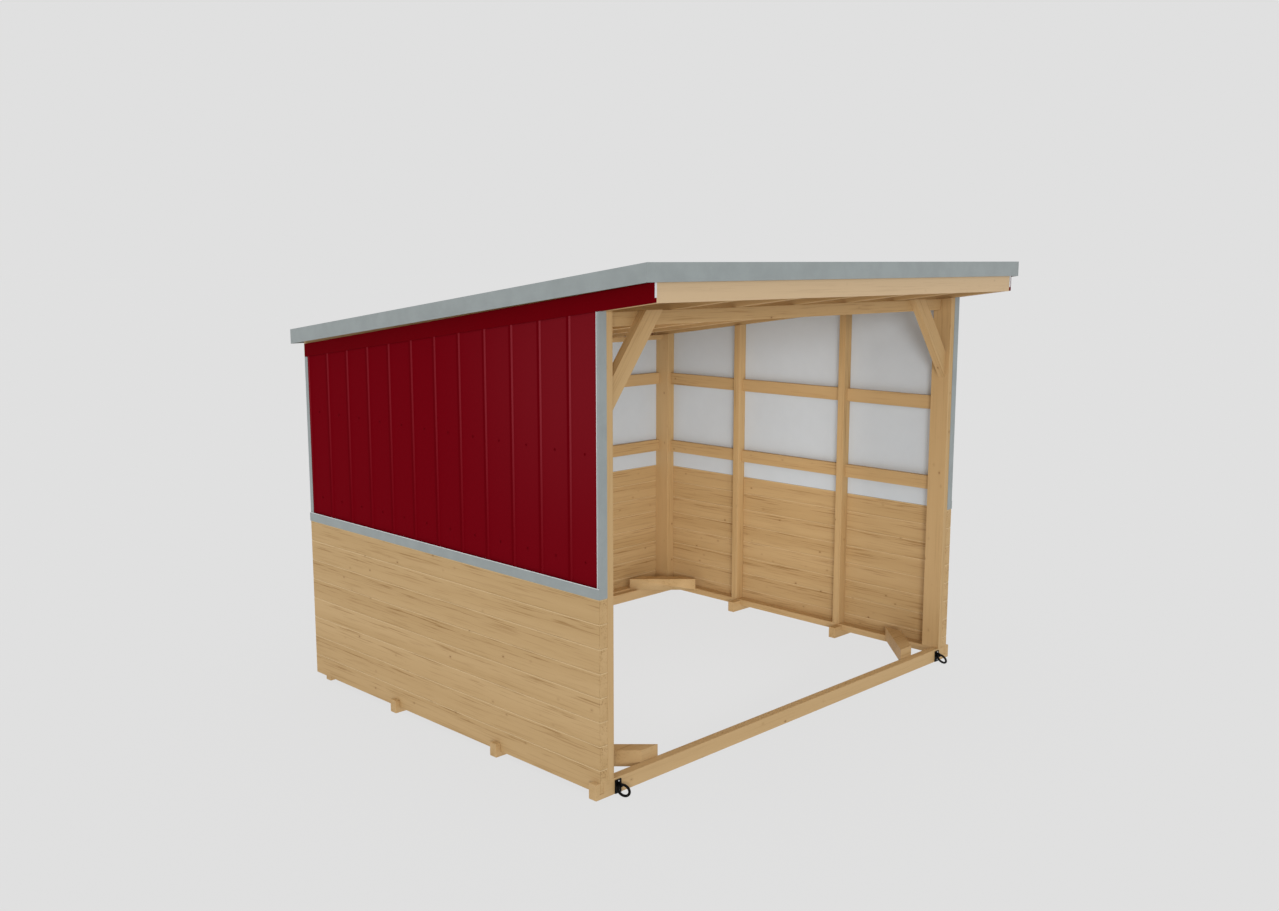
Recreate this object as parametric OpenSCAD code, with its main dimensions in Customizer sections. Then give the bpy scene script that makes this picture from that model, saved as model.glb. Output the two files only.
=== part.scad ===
// Open-fronted loafing shed: timber frame on a front runner, saddle feet and a
// back skid, kickboards below, ribbed steel sheet above, and a single-pitch roof
// that falls to the back. Millimetres, +Z up, the open front faces -Y.

/* [Shed] */
// Width over the kickboards
shed_w = 3600; // [3000:50:4200]
// Depth over the kickboards
shed_d = 3000; // [2600:50:3600]
// Slope of the roof in degrees
roof_pitch = 7.6; // [4:0.2:12]
// Height of the rafters' underside over the middle of the front beam
eaves_h = 2703; // [2500:1:3000]

/* [Base] */
// Height of the front runner and of the sills' tops
runner_h = 94; // [86:1:120]
// Thickness of the front runner
runner_t = 60; // [45:1:70]
// Reach of the front runner's ends past the kickboards
runner_out = 32; // [10:1:50]
// Height of the sills' underside above the ground
sill_z = 45; // [38:1:55]
// Height of the back skid and of the back braces' underside
skid_h = 80; // [65:1:95]
// Thickness of the back skid
skid_t = 58; // [40:1:80]
// Distance of the back skid's ends inside the kickboards' outer face
skid_in = 10; // [2:1:20]
// Width of a foot along the wall
foot_w = 58; // [40:1:90]
// Height of a foot's toes
foot_h = 85; // [65:1:110]
// Reach of a foot past the side sill's inner face
foot_in = 95; // [40:1:150]
// Reach of a foot past the kickboards
foot_out = 35; // [10:1:50]
// Distance of the front feet from the middle
foot_front = 585; // [400:5:700]
// Distance of the back feet from the middle
foot_back = 480; // [400:5:700]
// Width of a base brace
brace_w = 98; // [60:1:120]
// Height of a base brace
brace_h = 98; // [60:1:110]
// Height of the front braces' underside
brace_z = 66; // [50:1:75]
// Distance of a base brace from the inner corner of the base
brace_leg = 277; // [180:1:350]

/* [Frame] */
// Depth of the posts across the wall
post_d = 80; // [65:1:100]
// Width of the wall posts along the wall
post_w = 60; // [45:1:90]
// Length of the corner posts along the side walls
corner_l = 145; // [100:1:180]
// Distance of the side walls' front posts from the middle
side_post_front = 550; // [400:5:700]
// Distance of the side walls' back posts from the middle
side_post_back = 525; // [400:5:700]
// Distance of the back wall's posts from the middle
back_post_x = 600; // [450:10:750]
// Height of a girt
girt_h = 100; // [60:1:120]
// Thickness of a girt
girt_t = 40; // [25:1:50]
// Distance of the lower girts above the kickboards
girt_low = 137; // [80:1:200]
// Distance of the upper girts' tops below the back plate
girt_high = 298; // [200:1:400]
// Thickness of the front beam
beam_t = 40; // [30:1:60]
// Height of the front beam at its middle
beam_h = 77; // [60:1:140]
// Distance of the front beam behind the front posts' face
beam_back = 86; // [80:1:110]
// Height of the back plate at its inner face
plate_h = 42; // [30:1:80]
// Reach of a knee brace along the front beam
knee_l = 358; // [250:1:500]
// Reach of a knee brace down the front post
knee_h = 488; // [300:1:600]
// Width of a knee brace
knee_w = 108; // [60:1:120]
// Thickness of a knee brace
knee_t = 54; // [40:1:75]

/* [Roof] */
// Overhang of the roof's front edge past the kickboards
front_overhang = 423; // [300:1:600]
// Overhang of the roof's back edge past the kickboards
back_overhang = 70; // [60:1:200]
// Overhang of the roof's sides past the kickboards
side_overhang = 60; // [45:1:120]
// Width of a rafter
rafter_w = 60; // [45:1:80]
// Depth of a rafter
rafter_h = 140; // [120:1:180]
// Spacing of the rafters between the two end ones
rafter_pitch = 560; // [450:10:600]
// Thickness of the front and back fascia boards
fascia_t = 25; // [18:1:30]
// Distance of the front fascia board behind the roof's front edge
front_fascia_in = 18; // [10:1:40]
// Distance of the back fascia board inside the roof's back edge
back_fascia_in = 25; // [10:1:28]
// Height of the barge boards
barge_h = 82; // [80:1:120]
// Thickness of the roof deck
deck_t = 20; // [16:1:28]
// Gap left between sloping faces that rest on each other
seat = 0.1; // [0.05:0.05:0.5]

/* [Walls] */
// Thickness of the kickboards
board_t = 28; // [22:1:32]
// Height of one course of kickboards
board_h = 140; // [110:1:150]
// Number of courses of kickboards
board_n = 8; // [7:1:8]
// Height of the kickboards' lower edge
board_z = 31; // [20:1:36]
// Width of the kickboards' returns let into the front posts
return_w = 34; // [25:1:45]
// Depth of the groove between two courses
groove = 4; // [2:0.5:6]

/* [Sheet] */
// Thickness that the steel sheets and trims are drawn at
sheet_t = 2; // [1.5:0.5:3]
// Thickness of the flat lining between the frame and the wall sheets
lining_t = 12; // [9:1:13]
// Depth of a wall sheet from pan to crest
rib_h = 12; // [8:1:14]
// Width of a wall sheet's crest
rib_top = 18; // [12:1:30]
// Width of the slope beside a wall sheet's crest
rib_side = 9; // [6:1:15]
// Spacing of the sheets' ribs, before it is fitted to the wall
rib_pitch = 250; // [200:5:320]
// Depth of the roof sheet from pan to crest
roof_rib_h = 36; // [20:1:40]
// Width of the roof sheet's crest
roof_rib_top = 30; // [15:1:40]
// Width of the slope beside the roof sheet's crest
roof_rib_side = 15; // [8:1:25]
// Height of the roof's edge trims
roof_trim_h = 100; // [80:1:130]
// Width of the roof's edge trims on top of the roof sheet
roof_trim_w = 60; // [50:1:100]
// Height of the drip trims
drip_h = 60; // [40:1:90]
// Gap between the kickboards' face and the drip trims' leg
drip_out = 1; // [0.5:0.5:5]
// Width of the corner trims on the front and back faces
corner_trim_w = 58; // [50:1:90]
// Width of the front corner trims' lips on the side walls
front_lip = 18; // [10:1:40]
// Reach of the back corner trims' lips over the side sheets
back_lip = 9; // [5:1:30]

/* [Towing rings] */
// Distance of a ring inside the kickboards' outer face
ring_in = 135; // [120:5:400]
// Radius of a ring to the middle of its bar
ring_r = 36; // [33:0.5:44]
// Diameter of a ring's bar
ring_bar = 15.5; // [12:0.5:17]
// Height of a ring's pivot
pivot_z = 54; // [48:0.5:58]
// Distance of a ring's pivot in front of the runner
pivot_out = 22; // [20:0.5:30]
// Gap between a resting ring and the ground
ring_gap = 1; // [0.5:0.1:3]
// Thickness of the tab that a ring swings in
tab_t = 12; // [8:0.5:16]
// Wall of a tab round its bore
tab_wall = 6.5; // [4:0.5:8]
// Gap between a ring's bar and its bore
tab_gap = 0.4; // [0.3:0.1:1]
// Width of a tab's back plate
lug_w = 46; // [36:1:60]
// Height of a tab's back plate
lug_h = 80; // [74:1:100]
// Thickness of a tab's back plate
lug_t = 8; // [5:0.5:9]
// Height of a back plate's lower edge above the ground
lug_z = 3; // [2:0.5:8]

/* [Hidden] */
$fn = 64;

wood = "burlywood";
red = "darkred";
zinc = "lightslategray";
pale = "gainsboro";
black = "black";

// Outer faces of the kickboards, and the faces of the frame inside them
half_w = shed_w / 2;
half_d = shed_d / 2;
frame_x = half_w - board_t;
frame_y = half_d - board_t;
inner_x = frame_x - post_d;
inner_y = frame_y - post_d;
wall_shift = (front_overhang - back_overhang) / 2;

// Base
sill_top = runner_h;
runner_in = -half_d + runner_t;

// Boards, sheets and trims
board_top = board_z + board_n * board_h;
sheet_z = board_top + sheet_t;
drip_top = board_top + drip_h;
drip_x = half_w + drip_out;
drip_y = half_d + drip_out;
pan_x = frame_x + lining_t;
pan_y = frame_y + lining_t;
crest_x = pan_x + rib_h;
crest_y = pan_y + rib_h;

// Roof
tan_p = tan(roof_pitch);
cos_p = cos(roof_pitch);
beam_y = -half_d + beam_back + beam_t / 2;
beam_z = eaves_h - beam_h;
roof_front = -half_d - front_overhang;
roof_back = half_d + back_overhang;
roof_x = half_w + side_overhang;
front_fascia_y = roof_front + front_fascia_in;
back_fascia_y = roof_back - back_fascia_in;
rafter_front = front_fascia_y + fascia_t;
rafter_back = back_fascia_y - fascia_t;
rafter_v = rafter_h / cos_p;
deck_v = rafter_v + seat + deck_t / cos_p;
crest_v = deck_v + seat + roof_rib_h / cos_p + seat;
trim_v = crest_v + sheet_t / cos_p;

// Height of the rafters' underside above a point y of the walls
function soffit(y) = eaves_h - (y - beam_y) * tan_p;
plate_z = soffit(inner_y) - plate_h;
girt_z = [board_top + girt_low, plate_z - girt_high - girt_h];

// Towing rings
ring_x = half_w - ring_in;
ring_lean = asin((pivot_z - ring_bar / 2 - ring_gap) / (2 * ring_r));
bar_sag = ring_r - sqrt(ring_r * ring_r - tab_t * tab_t / 4);
bore_r = ring_bar / 2 + bar_sag + tab_gap;
tab_r = bore_r + tab_wall;
pivot_y = -half_d - pivot_out;

// Places everything so that the roof's outline is centred on the origin
module placed() translate([0, wall_shift, 0]) children();

// Box between two corners
module box(a, b) translate(a) cube(b - a);

// Outline in y and z, drawn out from x0 to x1
module across(x0, x1, outline)
    translate([x0, 0, 0]) rotate([90, 0, 90]) linear_extrude(x1 - x0) polygon(outline);

// Outline in x and z, drawn out from y0 to y1
module along(y0, y1, outline)
    translate([0, y1, 0]) rotate([90, 0, 0]) linear_extrude(y1 - y0) polygon(outline);

// The piece itself on the right, or its mirror image on the left
module on_side(is_right) {
    if (is_right) children();
    else mirror([1, 0, 0]) children();
}

// Layer that follows the roof between two heights above the rafters' underside
function slope_outline(y0, y1, low, high) = [
    [y0, soffit(y0) + low], [y1, soffit(y1) + low],
    [y1, soffit(y1) + high], [y0, soffit(y0) + high]
];

// Outline in y and z with a level foot and a top that follows the rafters' underside
function post_outline(y0, y1, z0) = [
    [y0, z0], [y1, z0], [y1, soffit(y1) - seat], [y0, soffit(y0) - seat]
];

// Ribbed sheet outline from 0 to len, with a crest at each end
function reversed(list) = [for (i = [len(list) - 1:-1:0]) list[i]];
function rib_edge(len, depth, top, side) = let (n = max(2, round(len / rib_pitch)), p = len / n) concat(
    [[0, depth], [top / 2, depth], [top / 2 + side, 0]],
    [for (i = [1:n - 1]) for (q = [
        [-top / 2 - side, 0], [-top / 2, depth], [top / 2, depth], [top / 2 + side, 0]
    ]) [i * p + q[0], q[1]]],
    [[len - top / 2 - side, 0], [len - top / 2, depth], [len, depth]]
);
function rib_outline(len, depth, top, side) = concat(
    rib_edge(len, depth - sheet_t, top, side),
    [for (q = reversed(rib_edge(len, depth - sheet_t, top, side))) q + [0, sheet_t]]
);

// Kickboard outline in thickness and height, grooved between the courses on both faces
function board_face(at, into) = [for (i = [0:board_n - 1]) for (q = concat(
    i == 0 ? [[at, 0]] : [[at, groove]],
    i == board_n - 1 ? [[at, board_h]] : [[at, board_h - groove], [at + into, board_h]]
)) [q[0], board_z + i * board_h + q[1]]];
function board_outline() = concat(board_face(board_t, -groove), reversed(board_face(0, groove)));

// Both halves of an outline that is given for its right half from the ground up
function both_halves(half) = concat(half, [for (q = reversed(half)) [-q[0], q[1]]]);

// Runner across the front, slotted near its ends for the kickboards
module front_runner() {
    end_x = half_w + runner_out;
    color(wood) placed() along(-half_d, runner_in, both_halves([
        [end_x, 0], [end_x, runner_h], [half_w, runner_h], [half_w, board_z],
        [frame_x, board_z], [frame_x, runner_h]]));
}

// Skid across the back, stepped at its ends for the sills and kickboards
module back_skid() {
    end_x = half_w - skid_in;
    color(wood) placed() along(inner_y - skid_t, inner_y, both_halves([
        [end_x, 0], [end_x, board_z], [frame_x, board_z], [frame_x, sill_z],
        [inner_x, sill_z], [inner_x, skid_h]]));
}

module side_sill(is_right) {
    color(wood) placed() on_side(is_right)
        box([inner_x, runner_in, sill_z], [frame_x, frame_y, sill_top]);
}

module left_sill() { side_sill(false); }
module right_sill() { side_sill(true); }

module back_sill() {
    color(wood) placed() box([-inner_x, inner_y, sill_z], [inner_x, frame_y, sill_top]);
}

// Saddle blocks under the side sills, with a toe on each side of the wall
module feet() {
    outline = [[inner_x - foot_in, 0], [half_w + foot_out, 0], [half_w + foot_out, foot_h],
               [half_w, foot_h], [half_w, board_z], [frame_x, board_z], [frame_x, sill_z],
               [inner_x, sill_z], [inner_x, foot_h], [inner_x - foot_in, foot_h]];
    color(wood) placed()
        for (is_right = [false, true], y = [-foot_front, foot_back])
            on_side(is_right) along(y - foot_w / 2, y + foot_w / 2, outline);
}

// Diagonal braces in the four corners of the base
module base_braces() {
    near = brace_leg;
    far = brace_leg + brace_w * sqrt(2);
    color(wood) placed()
        for (is_right = [false, true], corner = [[runner_in, 1, brace_z], [inner_y, -1, skid_h]])
            on_side(is_right) translate([0, 0, corner[2]]) linear_extrude(brace_h) polygon([
                [inner_x, corner[0] + corner[1] * near], [inner_x - near, corner[0]],
                [inner_x - far, corner[0]], [inner_x, corner[0] + corner[1] * far]]);
}

// Full-height front post, notched for the kickboards' returns
module front_post(is_right) {
    color(wood) placed() on_side(is_right) difference() {
        across(inner_x, frame_x, post_outline(-half_d, -half_d + corner_l, sill_top));
        box([frame_x - return_w, -half_d - board_t, sill_top - board_t],
            [half_w, -half_d + board_t, board_top]);
    }
}

module left_front_post() { front_post(false); }
module right_front_post() { front_post(true); }

module back_post(is_right) {
    color(wood) placed() on_side(is_right)
        across(inner_x, frame_x, post_outline(frame_y - corner_l, frame_y, sill_top));
}

module left_back_post() { back_post(false); }
module right_back_post() { back_post(true); }

module side_posts(is_right) {
    color(wood) placed() on_side(is_right)
        for (y = [-side_post_front, side_post_back])
            across(inner_x, frame_x, post_outline(y - post_w / 2, y + post_w / 2, sill_top));
}

module left_wall_posts() { side_posts(false); }
module right_wall_posts() { side_posts(true); }

module back_wall_posts() {
    color(wood) placed()
        for (x = [-back_post_x, back_post_x])
            box([x - post_w / 2, inner_y, sill_top], [x + post_w / 2, frame_y, plate_z]);
}

// Rails between the posts, flush with the frame's outer face
module side_girts(is_right) {
    bays = [[-half_d + corner_l, -side_post_front - post_w / 2],
            [-side_post_front + post_w / 2, side_post_back - post_w / 2],
            [side_post_back + post_w / 2, frame_y - corner_l]];
    color(wood) placed() on_side(is_right)
        for (bay = bays, z = girt_z)
            box([frame_x - girt_t, bay[0], z], [frame_x, bay[1], z + girt_h]);
}

module left_girts() { side_girts(false); }
module right_girts() { side_girts(true); }

module back_girts() {
    bays = [[-inner_x, -back_post_x - post_w / 2],
            [-back_post_x + post_w / 2, back_post_x - post_w / 2],
            [back_post_x + post_w / 2, inner_x]];
    color(wood) placed()
        for (bay = bays, z = girt_z)
            box([bay[0], frame_y - girt_t, z], [bay[1], frame_y, z + girt_h]);
}

// Front beam between the posts, with its top planed to the roof's slope
module front_beam() {
    color(wood) placed() across(-inner_x, inner_x,
        post_outline(beam_y - beam_t / 2, beam_y + beam_t / 2, beam_z));
}

module back_plate() {
    color(wood) placed() across(-inner_x, inner_x, post_outline(inner_y, frame_y, plate_z));
}

// Knee brace on the front of the beam, from the post up to the rafters' underside
module knee_brace(is_right) {
    angle = atan(knee_h / knee_l);
    low = beam_z - knee_h;
    y1 = beam_y - beam_t / 2;
    y0 = y1 - knee_t;
    top = soffit(y0);
    reach = (top - low) / tan(angle);
    color(wood) placed() on_side(is_right) intersection() {
        along(y0, y1, [
            [inner_x, low], [inner_x - reach, top],
            [inner_x - reach + knee_w / sin(angle), top],
            [inner_x, low + knee_w / cos(angle)]]);
        across(inner_x - reach, inner_x, post_outline(y0, y1, low));
    }
}

module left_knee_brace() { knee_brace(false); }
module right_knee_brace() { knee_brace(true); }

module rafters() {
    end_x = frame_x - rafter_w / 2;
    color(wood) placed()
        for (x = concat([-end_x], [for (i = [-2:2]) i * rafter_pitch], [end_x]))
            across(x - rafter_w / 2, x + rafter_w / 2,
                slope_outline(rafter_front, rafter_back, 0, rafter_v));
}

// Fascia board across the rafters' ends, between the barge boards
module fascia(y0) {
    y1 = y0 + fascia_t;
    color(wood) placed() across(-frame_x, frame_x, [
        [y0, soffit(y1)], [y1, soffit(y1)],
        [y1, soffit(y1) + rafter_v], [y0, soffit(y0) + rafter_v]]);
}

module front_fascia() { fascia(front_fascia_y); }
module back_fascia() { fascia(rafter_back); }

// Red board along each end rafter, over the top of the wall sheets
module barge_board(is_right) {
    color(red) placed() on_side(is_right)
        across(frame_x, crest_x + sheet_t,
            slope_outline(front_fascia_y, crest_y + sheet_t, 0, barge_h));
}

module left_barge_board() { barge_board(false); }
module right_barge_board() { barge_board(true); }

module roof_deck() {
    color(wood) placed() across(-roof_x + sheet_t, roof_x - sheet_t,
        slope_outline(roof_front + sheet_t, roof_back - sheet_t, rafter_v + seat, deck_v));
}

// Ribbed roof sheet, with its ribs running down the slope
module roof_sheet() {
    width = 2 * (roof_x - sheet_t - seat);
    y0 = roof_front + sheet_t + seat;
    y1 = roof_back - sheet_t - seat;
    run = (y1 - y0) / cos_p - 2 * roof_rib_h * tan_p;
    color(zinc) placed() translate([-width / 2, y0, soffit(y0) + deck_v + seat])
        rotate([90 - roof_pitch, 0, 0]) mirror([0, 0, 1])
            linear_extrude(run) polygon(rib_outline(width, roof_rib_h, roof_rib_top, roof_rib_side));
}

// Angle trims across the roof: a leg down its edge and a leg on the crests
module front_roof_trim() {
    y0 = roof_front;
    y1 = roof_front + sheet_t;
    y2 = roof_front + roof_trim_w;
    low = soffit(y0) + trim_v - roof_trim_h;
    color(zinc) placed() across(-roof_x, roof_x, [
        [y0, low], [y1, low], [y1, soffit(y1) + crest_v], [y2, soffit(y2) + crest_v],
        [y2, soffit(y2) + trim_v], [y0, soffit(y0) + trim_v]]);
}

module back_roof_trim() {
    y0 = roof_back;
    y1 = roof_back - sheet_t;
    y2 = roof_back - roof_trim_w;
    low = soffit(y0) + trim_v - roof_trim_h;
    color(zinc) placed() across(-roof_x, roof_x, [
        [y0, low], [y0, soffit(y0) + trim_v], [y2, soffit(y2) + trim_v],
        [y2, soffit(y2) + crest_v], [y1, soffit(y1) + crest_v], [y1, low]]);
}

// Angle trim down a side of the roof, with its top leg between the front and back trims
module side_roof_trim(is_right) {
    y0 = roof_front + sheet_t;
    y1 = roof_front + roof_trim_w;
    y2 = roof_back - roof_trim_w;
    y3 = roof_back - sheet_t;
    low = trim_v - roof_trim_h;
    color(zinc) placed() on_side(is_right) {
        across(roof_x - roof_trim_w, roof_x, slope_outline(y1, y2, crest_v, trim_v));
        across(roof_x - sheet_t, roof_x, [
            [y0, soffit(y0) + low], [y3, soffit(y3) + low], [y3, soffit(y3) + crest_v],
            [y2, soffit(y2) + crest_v], [y2, soffit(y2) + trim_v],
            [y1, soffit(y1) + trim_v], [y1, soffit(y1) + crest_v], [y0, soffit(y0) + crest_v]]);
    }
}

module left_roof_trim() { side_roof_trim(false); }
module right_roof_trim() { side_roof_trim(true); }

// Kickboards of a side, with their front ends returned on the post above the runner
module side_kickboards(is_right) {
    color(wood) placed() on_side(is_right) {
        translate([frame_x, 0, 0]) along(-half_d, half_d, board_outline());
        intersection() {
            translate([0, -half_d, 0]) across(frame_x - return_w, frame_x, board_outline());
            box([frame_x - return_w, -half_d, sill_top], [frame_x, -half_d + board_t, board_top]);
        }
    }
}

module left_kickboards() { side_kickboards(false); }
module right_kickboards() { side_kickboards(true); }

module back_kickboards() {
    color(wood) placed() translate([0, frame_y, 0]) across(-frame_x, frame_x, board_outline());
}

// Flat linings on the frame, behind the sheets of the sides and the back
module wall_linings() {
    color(pale) placed() {
        for (is_right = [false, true]) on_side(is_right)
            across(frame_x, pan_x, post_outline(-half_d, frame_y - seat, sheet_z));
        box([-frame_x, frame_y, sheet_z], [frame_x, pan_y, soffit(crest_y)]);
    }
}

// Ribbed wall sheet whose top follows the rafters' underside
module side_sheet(is_right) {
    y0 = -half_d;
    y1 = frame_y;
    color(red) placed() on_side(is_right) intersection() {
        translate([pan_x, y1, sheet_z]) rotate([0, 0, -90]) linear_extrude(soffit(y0) - sheet_z)
            polygon(rib_outline(y1 - y0, rib_h, rib_top, rib_side));
        across(pan_x, crest_x, post_outline(y0, y1, sheet_z));
    }
}

module left_wall_sheet() { side_sheet(false); }
module right_wall_sheet() { side_sheet(true); }

module back_wall_sheet() {
    color(red) placed() translate([-frame_x, pan_y, sheet_z]) linear_extrude(soffit(crest_y) - sheet_z)
        polygon(rib_outline(2 * frame_x, rib_h, rib_top, rib_side));
}

// Drip trim: a web on the kickboards, which carries the sheet, and a leg outside it
module side_drip_trim(is_right) {
    color(zinc) placed() on_side(is_right) {
        box([frame_x, -half_d, board_top], [drip_x + sheet_t, drip_y, sheet_z]);
        box([drip_x, -half_d - sheet_t, board_top], [drip_x + sheet_t, drip_y, drip_top]);
        box([crest_x + sheet_t - corner_trim_w, -half_d - sheet_t, board_top],
            [drip_x + sheet_t, -half_d, drip_top]);
    }
}

module left_drip_trim() { side_drip_trim(false); }
module right_drip_trim() { side_drip_trim(true); }

module back_drip_trim() {
    color(zinc) placed() {
        box([-frame_x, frame_y, board_top], [frame_x, drip_y + sheet_t, sheet_z]);
        box([-drip_x - sheet_t, drip_y, board_top], [drip_x + sheet_t, drip_y + sheet_t, drip_top]);
    }
}

// Upright angle trims at the walls' corners
module front_corner_trims() {
    x1 = crest_x + sheet_t;
    color(zinc) placed() for (is_right = [false, true]) on_side(is_right) {
        box([x1 - corner_trim_w, -half_d - sheet_t, drip_top], [x1, -half_d, soffit(-half_d)]);
        box([crest_x, -half_d - sheet_t, drip_top],
            [x1, -half_d + front_lip, soffit(-half_d + front_lip)]);
    }
}

module back_corner_trims() {
    x1 = crest_x + sheet_t;
    y1 = crest_y + sheet_t;
    color(zinc) placed() for (is_right = [false, true]) on_side(is_right) {
        box([x1 - corner_trim_w, crest_y, drip_top], [x1, y1, soffit(y1)]);
        box([crest_x, frame_y - back_lip, drip_top], [x1, y1, soffit(y1)]);
    }
}

// Back plate with the tab that a ring swings in
module tow_lug(x) {
    color(black) placed() difference() {
        union() {
            box([x - lug_w / 2, -half_d - lug_t, lug_z], [x + lug_w / 2, -half_d, lug_z + lug_h]);
            box([x - tab_t / 2, pivot_y, pivot_z - tab_r],
                [x + tab_t / 2, -half_d - lug_t / 2, pivot_z + tab_r]);
            translate([x - tab_t / 2, pivot_y, pivot_z]) rotate([0, 90, 0])
                cylinder(r = tab_r, h = tab_t);
        }
        translate([x - tab_t, pivot_y, pivot_z]) rotate([0, 90, 0])
            cylinder(r = bore_r, h = 2 * tab_t);
    }
}

module left_tow_lug() { tow_lug(-ring_x); }
module right_tow_lug() { tow_lug(ring_x); }

// Round ring that leans forward from its tab until it meets the ground
module tow_ring(x) {
    color(black) placed() translate([x, pivot_y, pivot_z]) rotate([ring_lean, 0, 0])
        translate([0, -ring_r, 0]) rotate_extrude() translate([ring_r, 0]) circle(d = ring_bar);
}

module left_tow_ring() { tow_ring(-ring_x); }
module right_tow_ring() { tow_ring(ring_x); }

front_runner();
back_skid();
left_sill();
right_sill();
back_sill();
feet();
base_braces();
left_front_post();
right_front_post();
left_back_post();
right_back_post();
left_wall_posts();
right_wall_posts();
back_wall_posts();
left_girts();
right_girts();
back_girts();
front_beam();
back_plate();
left_knee_brace();
right_knee_brace();
rafters();
front_fascia();
back_fascia();
left_barge_board();
right_barge_board();
roof_deck();
roof_sheet();
front_roof_trim();
back_roof_trim();
left_roof_trim();
right_roof_trim();
left_kickboards();
right_kickboards();
back_kickboards();
wall_linings();
left_wall_sheet();
right_wall_sheet();
back_wall_sheet();
left_drip_trim();
right_drip_trim();
back_drip_trim();
front_corner_trims();
back_corner_trims();
left_tow_lug();
right_tow_lug();
left_tow_ring();
right_tow_ring();
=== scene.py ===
import math
import random

import bpy
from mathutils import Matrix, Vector


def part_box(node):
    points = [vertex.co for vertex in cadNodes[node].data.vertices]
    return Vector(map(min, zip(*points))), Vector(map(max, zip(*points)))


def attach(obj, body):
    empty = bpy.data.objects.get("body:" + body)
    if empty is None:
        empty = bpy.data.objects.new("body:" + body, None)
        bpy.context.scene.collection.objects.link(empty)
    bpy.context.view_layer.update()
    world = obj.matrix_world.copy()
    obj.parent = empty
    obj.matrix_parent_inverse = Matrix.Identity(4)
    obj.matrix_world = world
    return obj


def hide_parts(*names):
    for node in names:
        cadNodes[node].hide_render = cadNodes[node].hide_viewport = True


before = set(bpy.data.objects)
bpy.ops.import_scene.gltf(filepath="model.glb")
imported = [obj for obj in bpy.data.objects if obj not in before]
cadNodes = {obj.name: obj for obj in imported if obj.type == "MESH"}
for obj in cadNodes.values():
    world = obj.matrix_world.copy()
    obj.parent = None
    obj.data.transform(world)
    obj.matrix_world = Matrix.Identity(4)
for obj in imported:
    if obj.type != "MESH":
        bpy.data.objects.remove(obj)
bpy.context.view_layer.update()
print("stage: frame loaded with", len(cadNodes), "CAD nodes")


# One shader socket, so that shader maths reads as maths
class Wire:
    def __init__(self, tree, out):
        self.tree = tree
        self.out = out

    def node(self, kind, settings, sockets, pick=0):
        made = self.tree.nodes.new(kind)
        for key, value in settings.items():
            setattr(made, key, value)
        for key, value in sockets.items():
            if isinstance(value, Wire):
                self.tree.links.new(value.out, made.inputs[key])
            else:
                made.inputs[key].default_value = value
        return Wire(self.tree, made.outputs[pick])

    def math(self, operation, *values):
        return self.node("ShaderNodeMath", {"operation": operation}, dict(enumerate(values)))

    def __add__(self, other):
        return self.math("ADD", self, other)

    def __radd__(self, other):
        return self.math("ADD", other, self)

    def __sub__(self, other):
        return self.math("SUBTRACT", self, other)

    def __rsub__(self, other):
        return self.math("SUBTRACT", other, self)

    def __mul__(self, other):
        return self.math("MULTIPLY", self, other)

    def __rmul__(self, other):
        return self.math("MULTIPLY", other, self)

    def __truediv__(self, other):
        return self.math("DIVIDE", self, other)

    def __rtruediv__(self, other):
        return self.math("DIVIDE", other, self)

    # 0 below low, 1 above high
    def step(self, low, high):
        return self.node("ShaderNodeMapRange", {"interpolation_type": "SMOOTHSTEP"},
                         {"Value": self, "From Min": low, "From Max": high})

    # this wire is the share of the second colour
    def mix(self, first, second):
        return self.node("ShaderNodeMix", {"data_type": "RGBA"}, {0: self, 6: first, 7: second}, 2)

    # one coordinate of a vector
    def along(self, axis):
        return self.node("ShaderNodeSeparateXYZ", {}, {0: self}, "xyz".index(axis))

    def shift(self, other):
        return self.node("ShaderNodeVectorMath", {"operation": "ADD"}, {0: self, 1: other})

    def stretch(self, scale):
        return self.node("ShaderNodeVectorMath", {"operation": "MULTIPLY"}, {0: self, 1: scale})

    def noise(self, scale, detail, roughness):
        return self.node("ShaderNodeTexNoise", {}, {
            "Vector": self, "Scale": scale, "Detail": detail, "Roughness": roughness})


# sRGB 0 to 255 as a linear colour
def tone(red, green, blue):
    def linear(value):
        value /= 255
        return value / 12.92 if value <= 0.04045 else ((value + 0.055) / 1.055) ** 2.4
    return (linear(red), linear(green), linear(blue), 1.0)


def newMaterial(name, roughness, metallic=0.0, shine=0.2):
    material = bpy.data.materials.new(name)
    material.use_nodes = True
    tree = material.node_tree
    shader = tree.nodes["Principled BSDF"]
    shader.inputs["Metallic"].default_value = metallic
    shader.inputs["Roughness"].default_value = roughness
    shader.inputs["Specular IOR Level"].default_value = shine
    coords = tree.nodes.new("ShaderNodeTexCoord")
    return material, shader, Wire(tree, coords.outputs["Object"])


def feed(shader, socket, wire):
    wire.tree.links.new(wire.out, shader.inputs[socket])


# Sizes that the pieces share, in metres in the part's frame
shed = {
    "halfW": 1.8, "halfD": 1.5, "shift": 0.1765,   # outside of the kickboards, moved to the back
    "boardT": 0.028, "boardZ": 0.031, "boardH": 0.14, "courses": 8, "returnW": 0.034,
    "eaves": 2.703, "beamY": -1.394, "pitch": math.radians(7.6),   # underside of the rafters at the beam
    "roofX": 1.86, "roofY": 1.7465, "runnerH": 0.094, "lining": 0.012, "sheet": 0.002, "ribPitch": 0.25,
}
frameX = shed["halfW"] - shed["boardT"]
frameY = shed["halfD"] - shed["boardT"]
panOut = shed["lining"] + shed["sheet"]


# Underside of the rafters at a depth counted from the middle of the walls
def soffit(wallY):
    return shed["eaves"] - (wallY - shed["beamY"]) * math.tan(shed["pitch"])


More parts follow.
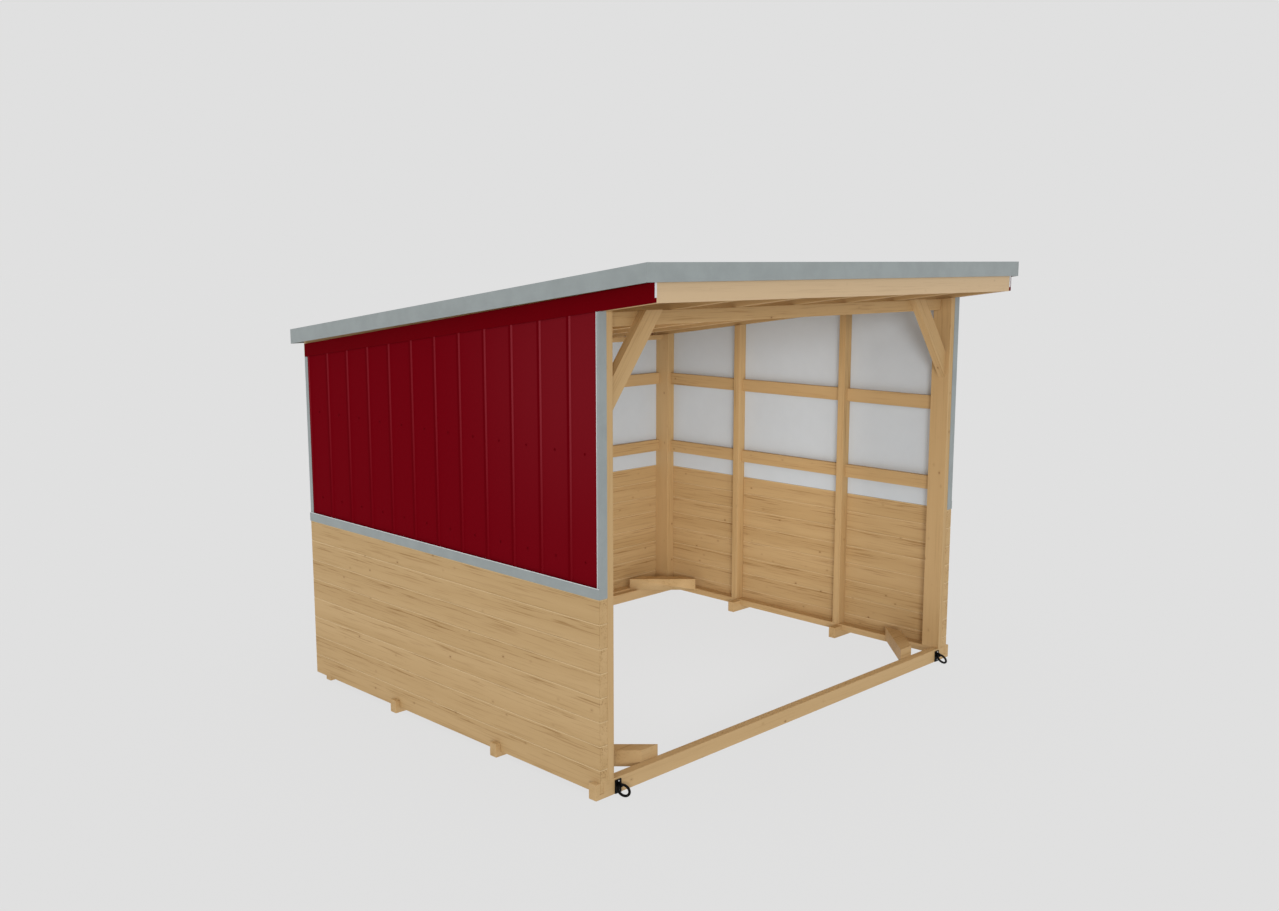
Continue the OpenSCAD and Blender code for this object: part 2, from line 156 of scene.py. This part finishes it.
# Noises are given as scale per metre, detail and roughness
pineLook = {
    "light": tone(196, 164, 118), "base": tone(186, 153, 106), "dark": tone(150, 114, 68),
    # the joint tone is a painted highlight, the gap tone painted shade
    "jointHighlight": tone(216, 190, 146), "gapShade": tone(138, 102, 60), "knot": tone(126, 88, 50),
    "bleached": tone(214, 190, 158),
    "squeeze": 0.025, "toneNoise": (8.0, 2.0, 0.5), "fibreNoise": (95.0, 3.0, 0.6),
    "toneBetween": (0.3, 0.7), "crowdBetween": (0.44, 0.62), "crowdShare": 0.75,
    "timberGrain": (0.72, (0.5, 0.72)), "boardGrain": (1.0, (0.5, 0.68)),   # share of dark, fibres between
    "timberSpread": (1.0, 1.7, 0.6), "boardSpread": (3.1, 1.7, 2.3),        # moves of the grain by a seed
    "courseBetween": (0.45, 0.8), "courseShare": 0.65,
    "jointBetween": (0.95, 0.96), "jointShare": 0.7, "gapBetween": (0.0, 0.025), "gapShare": 0.4,
    "knotCells": (7.0, 10.0), "knotSize": (0.036, 0.062), "knotShare": 0.85,
    "haloSize": (0.036, 0.16), "haloShare": 0.35,
    "roughness": 0.55, "grainRough": 0.12, "bump": 0.06, "bumpDepth": 0.001,
}


# Softwood with its grain along one axis; boards add a seed of their own, and at their joints a painted
# highlight along the top of each course and painted shade along its foot
def pine(name, along, seed=0.0, boards=False, lean=0.0, bleach=0.0):
    look = pineLook
    material, shader, place = newMaterial(name, look["roughness"])
    height = place.along("z")
    if boards:
        own = place.node("ShaderNodeAttribute", {"attribute_name": "boardSeed"}, {}, 2)
        moves = {i: own * spread for i, spread in enumerate(look["boardSpread"])}
        place = place.shift(place.node("ShaderNodeCombineXYZ", {}, moves))
    else:
        place = place.shift([seed * spread for spread in look["timberSpread"]])
    if lean:
        place = place.node("ShaderNodeVectorRotate", {"rotation_type": "Y_AXIS"},
                           {"Vector": place, "Angle": lean})
    cellsAlong, cellsAcross = look["knotCells"]
    knotScale = [cellsAlong if axis == along else cellsAcross for axis in "xyz"]
    cells = place.node("ShaderNodeTexVoronoi", {"feature": "F1"},
                       {"Vector": place.stretch(knotScale), "Scale": 1.0})
    knot = 1.0 - cells.step(*look["knotSize"])
    halo = 1.0 - cells.step(*look["haloSize"])
    drawnOut = place.stretch([look["squeeze"] if axis == along else 1.0 for axis in "xyz"])
    tones = drawnOut.noise(*look["toneNoise"])
    fibres = drawnOut.noise(*look["fibreNoise"])
    crowd = tones.step(*look["crowdBetween"])
    if boards:
        # dark fibres crowd together below the upper edge of each course
        course = (height - shed["boardZ"]) / shed["boardH"]
        course = course.math("FRACT", course)
        below = course.step(*look["courseBetween"])
        crowd = crowd * (1.0 - look["courseShare"]) + below * look["courseShare"]
    darkShare, fibreBetween = look["boardGrain" if boards else "timberGrain"]
    grain = fibres.step(*fibreBetween) * (crowd * look["crowdShare"] + (1.0 - look["crowdShare"]))
    colour = tones.step(*look["toneBetween"]).mix(look["light"], look["base"])
    colour = (grain * darkShare).mix(colour, look["dark"])
    # painted highlight along the top edge of each course, painted shade along its foot
    if boards:
        jointHighlight = course.step(*look["jointBetween"])
        gapShade = 1.0 - course.step(*look["gapBetween"])
        colour = (jointHighlight * look["jointShare"]).mix(colour, look["jointHighlight"])
        colour = (gapShade * look["gapShare"]).mix(colour, look["gapShade"])
    colour = (halo * look["haloShare"]).mix(colour, look["dark"])
    colour = (knot * look["knotShare"]).mix(colour, look["knot"])
    if bleach:
        colour = colour.node("ShaderNodeMix", {"data_type": "RGBA"},
                             {0: bleach, 6: colour, 7: look["bleached"]}, 2)
    feed(shader, "Base Color", colour)
    feed(shader, "Roughness", grain * look["grainRough"] + look["roughness"])
    bump = grain.node("ShaderNodeBump", {}, {
        "Strength": look["bump"], "Distance": look["bumpDepth"], "Height": grain})
    feed(shader, "Normal", bump)
    return material


steelLook = {"cloudNoise": (7.0, 4.0, 0.6), "cloudBetween": (0.3, 0.7), "roughSpread": 0.1}


# Coated or bare steel with a faint mottle
def steel(name, colour, roughness, mottle, metallic=0.0, shine=0.2):
    look = steelLook
    material, shader, place = newMaterial(name, roughness, metallic, shine)
    cloud = place.noise(*look["cloudNoise"])
    darker = tuple(c * (1.0 - mottle) for c in colour[:3]) + (1.0,)
    lighter = tuple(c * (1.0 + mottle) for c in colour[:3]) + (1.0,)
    feed(shader, "Base Color", cloud.step(*look["cloudBetween"]).mix(darker, lighter))
    feed(shader, "Roughness", cloud * look["roughSpread"] + (roughness - look["roughSpread"] / 2))
    return material


# the pale flank tone is a painted highlight, the deep crest tone painted shade, the faded tone painted light
ribLook = {
    "pan": tone(111, 3, 15), "sheenTone": tone(124, 30, 38),
    "flankHighlight": tone(134, 44, 52), "crest": tone(101, 1, 11),
    "height": 0.012, "flankBetween": (0.06, 0.16), "crestBetween": (0.72, 0.8),   # shares of the height
    "upperBetween": (1.2, 2.4), "backBetween": (-1.3, 0.3),   # heights and depths in the frame
    "flankLow": 0.1, "flankBack": 0.5, "sheenLow": 0.09, "sheenGain": 0.42,
    "roughness": 0.45, "shine": 0.004,
}


# Red sheets with painted light: painted highlights on the flanks of the ribs, painted shade along their
# crests
def ribbedPaint(name):
    look = ribLook
    material, shader, place = newMaterial(name, look["roughness"], shine=look["shine"])
    across, deep, height = [place.along(axis) for axis in "xyz"]
    outX = across.math("ABSOLUTE", across) - (frameX + panOut)
    outY = deep - (frameY + shed["shift"] + panOut)
    relief = outX.math("MAXIMUM", outX, outY) / look["height"]
    # painted light: the sheets and the flank highlights are palest near the roof and towards the open front
    upper = height.step(*look["upperBetween"])
    front = 1.0 - deep.step(*look["backBetween"])
    flankHighlight = relief.step(*look["flankBetween"])
    flankHighlight = flankHighlight * (upper * (1.0 - look["flankLow"]) + look["flankLow"])
    flankHighlight = flankHighlight * (front * (1.0 - look["flankBack"]) + look["flankBack"])
    sheenShare = front * (upper * look["sheenGain"] + look["sheenLow"])
    colour = flankHighlight.mix(sheenShare.mix(look["pan"], look["sheenTone"]), look["flankHighlight"])
    # painted shade along the crests of the ribs
    crest = relief.step(*look["crestBetween"])
    feed(shader, "Base Color", crest.mix(colour, look["crest"]))
    return material


kneeSettings = {"reach": 0.358, "drop": 0.488}   # of the knee braces along the beam and down the post
kneeLean = math.atan2(kneeSettings["reach"], kneeSettings["drop"])
pineX = pine("pineAcross", "x", seed=0.4)
pineY = pine("pineDeep", "y", seed=2.2)
pineZ = pine("pineUpright", "z", seed=5.1)
pineLeft = pine("pineLeftKnee", "z", seed=7.3, lean=-kneeLean)
pineRight = pine("pineRightKnee", "z", seed=8.9, lean=kneeLean)
boardY = pine("boardsDeep", "y", boards=True)
boardX = pine("boardsAcross", "x", boards=True)
fasciaPine = pine("fasciaPine", "x", seed=3.7, bleach=0.6)
deckPine = pine("deckPine", "x", seed=6.2)
redPaint = ribbedPaint("redPaint")
bargeRed = steel("redBoard", tone(103, 1, 10), roughness=0.6, mottle=0.02, shine=0.008)
screwRed = steel("redScrew", tone(108, 5, 16), roughness=0.5, mottle=0.02, shine=0.004)
liningGrey = steel("lining", tone(200, 207, 213), roughness=0.7, mottle=0.01, shine=0.05)
greyTrim = steel("greyTrim", tone(150, 157, 157), roughness=0.5, mottle=0.05)
# pale grey of the rolled edges and barge caps is a painted highlight
hemHighlightGrey = steel("hemHighlightGrey", tone(214, 216, 217), roughness=0.5, mottle=0.04)
roofGrey = steel("roofGrey", tone(148, 154, 153), roughness=0.5, mottle=0.05)
blackSteel = steel("blackSteel", tone(9, 9, 10), roughness=0.5, mottle=0.1, shine=0.1)
boltZinc = steel("boltZinc", tone(196, 198, 200), roughness=0.4, mottle=0.08, metallic=0.3)
print("stage: materials made")

# Every CAD node gets its finish
finishes = {
    pineX: ["front_runner", "back_skid", "back_sill", "back_girts", "front_beam", "back_plate",
            "feet", "base_braces", "back_kickboards"],
    pineY: ["left_sill", "right_sill", "left_girts", "right_girts", "rafters", "left_kickboards",
            "right_kickboards", "roof_deck"],
    pineZ: ["left_front_post", "right_front_post", "left_back_post", "right_back_post",
            "left_wall_posts", "right_wall_posts", "back_wall_posts"],
    fasciaPine: ["front_fascia", "back_fascia"],
    pineLeft: ["left_knee_brace"],
    pineRight: ["right_knee_brace"],
    redPaint: ["left_wall_sheet", "right_wall_sheet", "back_wall_sheet"],
    bargeRed: ["left_barge_board", "right_barge_board"],
    liningGrey: ["wall_linings"],
    roofGrey: ["roof_sheet"],
    greyTrim: ["front_roof_trim", "back_roof_trim", "left_roof_trim", "right_roof_trim", "left_drip_trim",
               "right_drip_trim", "back_drip_trim", "front_corner_trims", "back_corner_trims"],
    blackSteel: ["left_tow_lug", "right_tow_lug", "left_tow_ring", "right_tow_ring"],
}
for material, names in finishes.items():
    for name in names:
        data = cadNodes[name].data
        data.materials.clear()
        data.materials.append(material)

# Planed edges on the frame's timbers
edgeSettings = {"width": 0.0025, "segments": 2, "angle": math.radians(30), "weld": 0.00002}
for material in (pineX, pineY, pineZ, fasciaPine, pineLeft, pineRight, bargeRed):
    for name in finishes[material]:
        if "kickboards" in name or name == "roof_deck":
            continue
        timber = cadNodes[name]
        weld = timber.modifiers.new("weld", "WELD")
        weld.merge_threshold = edgeSettings["weld"]
        bevel = timber.modifiers.new("edge", "BEVEL")
        bevel.width = edgeSettings["width"]
        bevel.segments = edgeSettings["segments"]
        bevel.limit_method = "ANGLE"
        bevel.angle_limit = edgeSettings["angle"]
        bevel.harden_normals = False
print("stage: CAD nodes finished")


def clearSelection():
    for other in bpy.context.selected_objects:
        other.select_set(False)


def makeActive(obj):
    clearSelection()
    obj.select_set(True)
    bpy.context.view_layer.objects.active = obj


def settle(obj):
    makeActive(obj)
    bpy.ops.object.transform_apply(location=True, rotation=True, scale=True)


def copyOf(obj, offset):
    twin = obj.copy()
    twin.data = obj.data.copy()
    bpy.context.collection.objects.link(twin)
    twin.location = offset
    settle(twin)
    return twin


def joinAll(objs, name):
    clearSelection()
    for obj in objs:
        obj.select_set(True)
    bpy.context.view_layer.objects.active = objs[0]
    bpy.ops.object.join()
    joined = bpy.context.view_layer.objects.active
    joined.name = name
    joined.data.name = name
    return joined


def addBox(low, high):
    middle = [(a + b) / 2 for a, b in zip(low, high)]
    bpy.ops.mesh.primitive_cube_add(size=1, location=middle)
    box = bpy.context.active_object
    box.scale = [b - a for a, b in zip(low, high)]
    settle(box)
    return box


def bevelEdges(obj, offset, segments):
    makeActive(obj)
    bpy.ops.object.mode_set(mode="EDIT")
    bpy.ops.mesh.select_all(action="SELECT")
    bpy.ops.mesh.bevel(offset=offset, segments=segments, affect="EDGES")
    bpy.ops.object.mode_set(mode="OBJECT")


def storeSeed(obj, value):
    data = obj.data
    seeds = data.attributes.new("boardSeed", "FLOAT", "POINT")
    seeds.data.foreach_set("value", [value] * len(data.vertices))


def dress(obj, material, body="shed"):
    obj.data.materials.clear()
    obj.data.materials.append(material)
    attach(obj, body)


# Kickboards as separate boards with eased edges
boardSettings = {"edge": 0.0028, "segments": 1, "proud": 0.0006, "runnerGap": 0.0005, "seeds": (0, 40)}


# one piece per course, stacked up from the first
def stack(piece, dice):
    bevelEdges(piece, boardSettings["edge"], boardSettings["segments"])
    rows = [piece] + [copyOf(piece, (0, 0, i * shed["boardH"])) for i in range(1, shed["courses"])]
    for row in rows:
        storeSeed(row, dice.uniform(*boardSettings["seeds"]))
    return rows


def boardWall(name, low, high, seed, material, node, returnX=None):
    rows = stack(addBox(low, high), random.Random(seed))
    if returnX:
        # short ends across the front of the post, the lowest cut off above the runner
        ends = addBox((min(returnX), low[1] - boardSettings["proud"], low[2]),
                      (max(returnX), low[1] + shed["boardT"], high[2]))
        ends = stack(ends, random.Random(seed))
        makeActive(ends[0])
        bpy.ops.object.mode_set(mode="EDIT")
        bpy.ops.mesh.select_all(action="SELECT")
        bpy.ops.mesh.bisect(plane_co=(0, 0, shed["runnerH"] + boardSettings["runnerGap"]),
                            plane_no=(0, 0, 1), use_fill=True, clear_inner=True)
        bpy.ops.object.mode_set(mode="OBJECT")
        rows += ends
    wall = joinAll(rows, name)
    dress(wall, material)
    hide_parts(node)


lowZ, topZ = shed["boardZ"], shed["boardZ"] + shed["boardH"]
frontY, backY = -shed["halfD"] + shed["shift"], shed["halfD"] + shed["shift"]
returns = (frameX - shed["returnW"], shed["halfW"] - boardSettings["proud"])
boardWall("leftBoards", (-shed["halfW"], frontY, lowZ), (-frameX, backY, topZ), 3, boardY,
          "left_kickboards", [-x for x in returns])
boardWall("rightBoards", (frameX, frontY, lowZ), (shed["halfW"], backY, topZ), 4, boardY,
          "right_kickboards", returns)
boardWall("backBoards", (-frameX, frameY + shed["shift"], lowZ), (frameX, backY, topZ), 5, boardX,
          "back_kickboards")
print("stage: kickboards laid")

# Barge boards, a little wider at the front than at the back
bargeSettings = {"thick": 0.026, "backH": 0.09, "frontH": 0.105, "edge": 0.002, "segments": 2}


# lifts the vertices that the test picks
def raiseWhere(obj, test, lift):
    makeActive(obj)
    bpy.ops.object.mode_set(mode="EDIT")
    bpy.ops.mesh.select_all(action="DESELECT")
    bpy.ops.object.mode_set(mode="OBJECT")
    for vertex in obj.data.vertices:
        vertex.select = test(vertex.co)
    bpy.ops.object.mode_set(mode="EDIT")
    bpy.ops.transform.translate(value=(0, 0, lift))
    bpy.ops.object.mode_set(mode="OBJECT")


def bargeBoard(name, side, node):
    barge = bargeSettings
    low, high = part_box(node)
    inner = side * frameX
    outer = side * (frameX + barge["thick"])
    board = addBox((min(inner, outer), low[1], 0), (max(inner, outer), high[1], barge["backH"]))
    middle = (low[1] + high[1]) / 2
    half = barge["backH"] / 2
    raiseWhere(board, lambda co: co.y < middle and co.z > half, barge["frontH"] - barge["backH"])
    raiseWhere(board, lambda co: co.y < middle, soffit(low[1] - shed["shift"]))
    raiseWhere(board, lambda co: co.y > middle, soffit(high[1] - shed["shift"]))
    bevelEdges(board, barge["edge"], barge["segments"])
    board.name = name
    dress(board, bargeRed)
    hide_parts(node)


bargeBoard("leftBarge", -1, "left_barge_board")
bargeBoard("rightBarge", 1, "right_barge_board")
print("stage: barge boards cut")

# Boards of the roof deck, laid across the rafters
deckSettings = {"width": 0.12, "thick": 0.02, "edge": 0.003, "segments": 1,
                "rafter": 0.14, "seat": 0.0001, "inset": 0.003}


def layDeck():
    deck = deckSettings
    slope = shed["pitch"]
    reach = shed["roofY"] - shed["sheet"] - deck["inset"]
    run = 2 * reach / math.cos(slope)
    count = round(run / deck["width"])
    width = run / count
    halfX = shed["roofX"] - shed["sheet"]
    board = addBox((-halfX, 0, 0), (halfX, width, deck["thick"]))
    bevelEdges(board, deck["edge"], deck["segments"])
    boards = joinAll([board] + [copyOf(board, (0, i * width, 0)) for i in range(1, count)], "deckBoards")
    boards.rotation_euler = (-slope, 0, 0)
    lift = (deck["rafter"] + deck["seat"]) / math.cos(slope)
    boards.location = (0, -reach, soffit(-reach - shed["shift"]) + lift)
    settle(boards)
    dress(boards, deckPine)
    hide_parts("roof_deck")


layDeck()
print("stage: roof deck laid")

# Rolled edges on the drip and corner trims, and a pale cap on each barge board's front end; their pale grey
# is a painted highlight
# each ease is a share of the radius or the thickness
hemSettings = {"radius": 0.0024, "sides": 10, "ease": 0.2,
               "capW": 0.015, "capT": 0.0015, "capFoot": 0.025, "capEase": 0.3}


def hem(start, end):
    start, end = Vector(start), Vector(end)
    reach = end - start
    bpy.ops.mesh.primitive_cylinder_add(vertices=hemSettings["sides"], radius=hemSettings["radius"],
                                        depth=reach.length, location=(start + end) / 2,
                                        rotation=reach.to_track_quat("Z", "Y").to_euler())
    roll = bpy.context.active_object
    settle(roll)
    bevelEdges(roll, hemSettings["radius"] * hemSettings["ease"], 1)
    return roll


# thin pale plate on the barge board's front end, a painted highlight
def bargeHighlightCap(side, frontY):
    foot = soffit(frontY - shed["shift"])
    xs = sorted((side * frameX, side * (frameX + hemSettings["capW"])))
    cap = addBox((xs[0], frontY - hemSettings["capT"], foot + hemSettings["capFoot"]),
                 (xs[1], frontY, foot + bargeSettings["frontH"]))
    bevelEdges(cap, hemSettings["capT"] * hemSettings["capEase"], 1)
    return cap


def rollHems():
    half = shed["sheet"] / 2
    hems = []
    for side, name in ((-1, "left_drip_trim"), (1, "right_drip_trim")):
        low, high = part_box(name)
        x = side * (max(abs(low[0]), abs(high[0])) - half)
        hems.append(hem((x, low[1], high[2]), (x, high[1], high[2])))
    low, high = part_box("back_drip_trim")
    hems.append(hem((low[0], high[1] - half, high[2]), (high[0], high[1] - half, high[2])))
    low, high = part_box("front_corner_trims")
    lipY = high[1] - half
    top = soffit(lipY - shed["shift"])
    for side in (-1, 1):
        x = side * (high[0] - half)
        hems.append(hem((x, lipY, low[2]), (x, lipY, top)))
    low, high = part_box("left_barge_board")
    hems += [bargeHighlightCap(side, low[1]) for side in (-1, 1)]
    dress(joinAll(hems, "trimHems"), hemHighlightGrey)


rollHems()
print("stage: trim edges rolled")

# Screws with washers in the pans of the wall sheets and on the crests of the roof sheet
screwSettings = {
    "head": 0.0048, "headH": 0.0045, "headSides": 6, "headEase": 0.12,
    "washer": 0.008, "washerH": 0.0016, "washerSides": 14, "washerEase": 0.3, "girtH": 0.1,
    "roofRows": (-1.2, -0.35, 0.5, 1.3), "roofCrest": 0.1979, "roofEdge": 0.0021,   # crest above the soffit
}


# upright cylinder with its foot at a height, its edges eased by a share of its depth
def disc(sides, radius, depth, foot, ease):
    bpy.ops.mesh.primitive_cylinder_add(vertices=sides, radius=radius, depth=depth,
                                        location=(0, 0, foot + depth / 2))
    made = bpy.context.active_object
    settle(made)
    bevelEdges(made, depth * ease, 1)
    return made


# one screw standing on z = 0
def screw():
    cut = screwSettings
    washer = disc(cut["washerSides"], cut["washer"], cut["washerH"], 0, cut["washerEase"])
    head = disc(cut["headSides"], cut["head"], cut["headH"], cut["washerH"], cut["headEase"])
    return joinAll([washer, head], "screw")


# copies of one screw at each place, all turned the same way
def screwField(name, places, turn, material):
    first = screw()
    first.rotation_euler = turn
    settle(first)
    field = [copyOf(first, place) for place in places]
    bpy.data.objects.remove(first)
    dress(joinAll(field, name), material)


# middles of the pans along a sheet
def pans(start, length):
    count = round(length / shed["ribPitch"])
    return [start + (i + 0.5) * length / count for i in range(count)]


low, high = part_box("left_girts")
rows = (low[2] + screwSettings["girtH"] / 2, high[2] - screwSettings["girtH"] / 2)
panX = frameX + panOut
panY = frameY + panOut + shed["shift"]
sideRun = pans(frontY, frameY + shed["halfD"])
backRun = pans(-frameX, 2 * frameX)
quarter = math.pi / 2
screwField("leftScrews", [(-panX, y, z) for y in sideRun for z in rows], (0, -quarter, 0), screwRed)
screwField("rightScrews", [(panX, y, z) for y in sideRun for z in rows], (0, quarter, 0), screwRed)
screwField("backScrews", [(x, panY, z) for x in backRun for z in rows], (-quarter, 0, 0), screwRed)
roofWidth = 2 * (shed["roofX"] - screwSettings["roofEdge"])
roofCount = round(roofWidth / shed["ribPitch"])
crests = [-roofWidth / 2 + i * roofWidth / roofCount for i in range(1, roofCount)]
roofPlaces = [(x, y + shed["shift"], soffit(y) + screwSettings["roofCrest"])
              for x in crests for y in screwSettings["roofRows"]]
screwField("roofScrews", roofPlaces, (-shed["pitch"], 0, 0), greyTrim)
print("stage: sheets screwed on")

# Bolts that hold the lugs to the runner
boltSettings = {"radius": 0.0052, "height": 0.0045, "sides": 6, "ease": 0.12, "segments": 2,
                "rows": (0.0762, 0.02), "plate": 0.008}


# hexagon head on a face that looks to the front
def bolt(x, faceY, z):
    cut = boltSettings
    bpy.ops.mesh.primitive_cylinder_add(vertices=cut["sides"], radius=cut["radius"], depth=cut["height"],
                                        location=(x, faceY - cut["height"] / 2, z), rotation=(quarter, 0, 0))
    head = bpy.context.active_object
    settle(head)
    bevelEdges(head, cut["height"] * cut["ease"], cut["segments"])
    return head


def setBolts():
    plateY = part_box("front_runner")[0][1] - boltSettings["plate"]
    heads = []
    for name in ("left_tow_lug", "right_tow_lug"):
        low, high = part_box(name)
        heads += [bolt((low[0] + high[0]) / 2, plateY, z) for z in boltSettings["rows"]]
    dress(joinAll(heads, "lugBolts"), boltZinc)


setBolts()
print("stage: bolts set")

# Camera at the photograph's place
cameraSettings = {"place": (-6.324, -6.1575, 2.983), "down": 8.87, "turn": 45.0, "lens": 35.226, "sensor": 36}
bpy.ops.object.camera_add(
    location=cameraSettings["place"],
    rotation=(math.radians(90 - cameraSettings["down"]), 0, -math.radians(cameraSettings["turn"])))
camera = bpy.context.active_object
camera.data.sensor_fit = "HORIZONTAL"
camera.data.sensor_width = cameraSettings["sensor"]
camera.data.lens = cameraSettings["lens"]
bpy.context.scene.camera = camera

# Pale floor that glows almost as bright as the background and keeps a faint shadow
floorSettings = {"pale": 0.745, "glow": 0.94, "light": 0.94, "size": 400, "drop": 0.0005}
pale = floorSettings["pale"]
glow = floorSettings["glow"]
bpy.ops.mesh.primitive_plane_add(size=floorSettings["size"], location=(0, 0, -floorSettings["drop"]))
floor = bpy.context.active_object
floor.name = "floor"
floorMaterial = bpy.data.materials.new("paleFloor")
floorMaterial.use_nodes = True
floorShader = floorMaterial.node_tree.nodes["Principled BSDF"]
floorShader.inputs["Base Color"].default_value = (pale * (1 - glow) / floorSettings["light"],) * 3 + (1,)
floorShader.inputs["Roughness"].default_value = 1.0
floorShader.inputs["Specular IOR Level"].default_value = 0.0
floorShader.inputs["Emission Color"].default_value = (1, 1, 1, 1)
floorShader.inputs["Emission Strength"].default_value = pale * glow
floor.data.materials.append(floorMaterial)

# Soft light from the front left and from above, and panels that light the inside
lampSettings = {
    "key": {"source": (-1.0, -1.0, 0.15), "strength": 1.1, "softness": 15},
    "top": {"source": (0, 0, 1), "strength": 1.2, "softness": 50},
    "backFill": {"place": (0.0, -1.0, 1.35), "turn": (90, 0, 12), "size": (1.8, 1.8), "watts": 20},
    "downFill": {"place": (0.0, -0.55, 2.35), "turn": (0, 0, 0), "size": (2.4, 1.0), "watts": 5},
    "upFill": {"place": (0.0, -0.8, 0.3), "turn": (180, 0, 0), "size": (2.4, 0.6), "watts": 4},
}


# soft lamp far away, shining from one direction
def distantLamp(name):
    lampLook = lampSettings[name]
    source = lampLook["source"]
    bpy.ops.object.light_add(type="SUN", location=source)
    lamp = bpy.context.active_object
    lamp.name = name
    lamp.rotation_euler = (-Vector(source)).to_track_quat("-Z", "Y").to_euler()
    lamp.data.energy = lampLook["strength"]
    lamp.data.angle = math.radians(lampLook["softness"])
    lamp.visible_glossy = False


def panelLamp(name):
    lampLook = lampSettings[name]
    bpy.ops.object.light_add(type="AREA", location=lampLook["place"],
                             rotation=[math.radians(angle) for angle in lampLook["turn"]])
    lamp = bpy.context.active_object
    lamp.name = name
    lamp.data.shape = "RECTANGLE"
    lamp.data.size, lamp.data.size_y = lampLook["size"]
    lamp.data.energy = lampLook["watts"]
    lamp.visible_camera = False
    lamp.visible_glossy = False


distantLamp("key")
distantLamp("top")
panelLamp("backFill")
panelLamp("downFill")
panelLamp("upFill")

# Even background for the camera, softer sky light for everything else
skyLight = 0.54
world = bpy.data.worlds.new("studio")
bpy.context.scene.world = world
world.use_nodes = True
worldTree = world.node_tree
shown = worldTree.nodes["Background"]
shown.inputs["Color"].default_value = (pale, pale, pale, 1)
lit = worldTree.nodes.new("ShaderNodeBackground")
lit.inputs["Color"].default_value = (1, 1, 1, 1)
lit.inputs["Strength"].default_value = skyLight
path = worldTree.nodes.new("ShaderNodeLightPath")
blend = worldTree.nodes.new("ShaderNodeMixShader")
seen = Wire(worldTree, path.outputs["Is Camera Ray"])
for ray in ("Is Glossy Ray", "Is Transmission Ray"):
    seen = seen.math("MAXIMUM", seen, Wire(worldTree, path.outputs[ray]))
worldTree.links.new(seen.out, blend.inputs[0])
worldTree.links.new(lit.outputs[0], blend.inputs[1])
worldTree.links.new(shown.outputs[0], blend.inputs[2])
worldTree.links.new(blend.outputs[0], worldTree.nodes["World Output"].inputs["Surface"])
bpy.context.scene.view_settings.view_transform = "Standard"
print("stage: studio set")
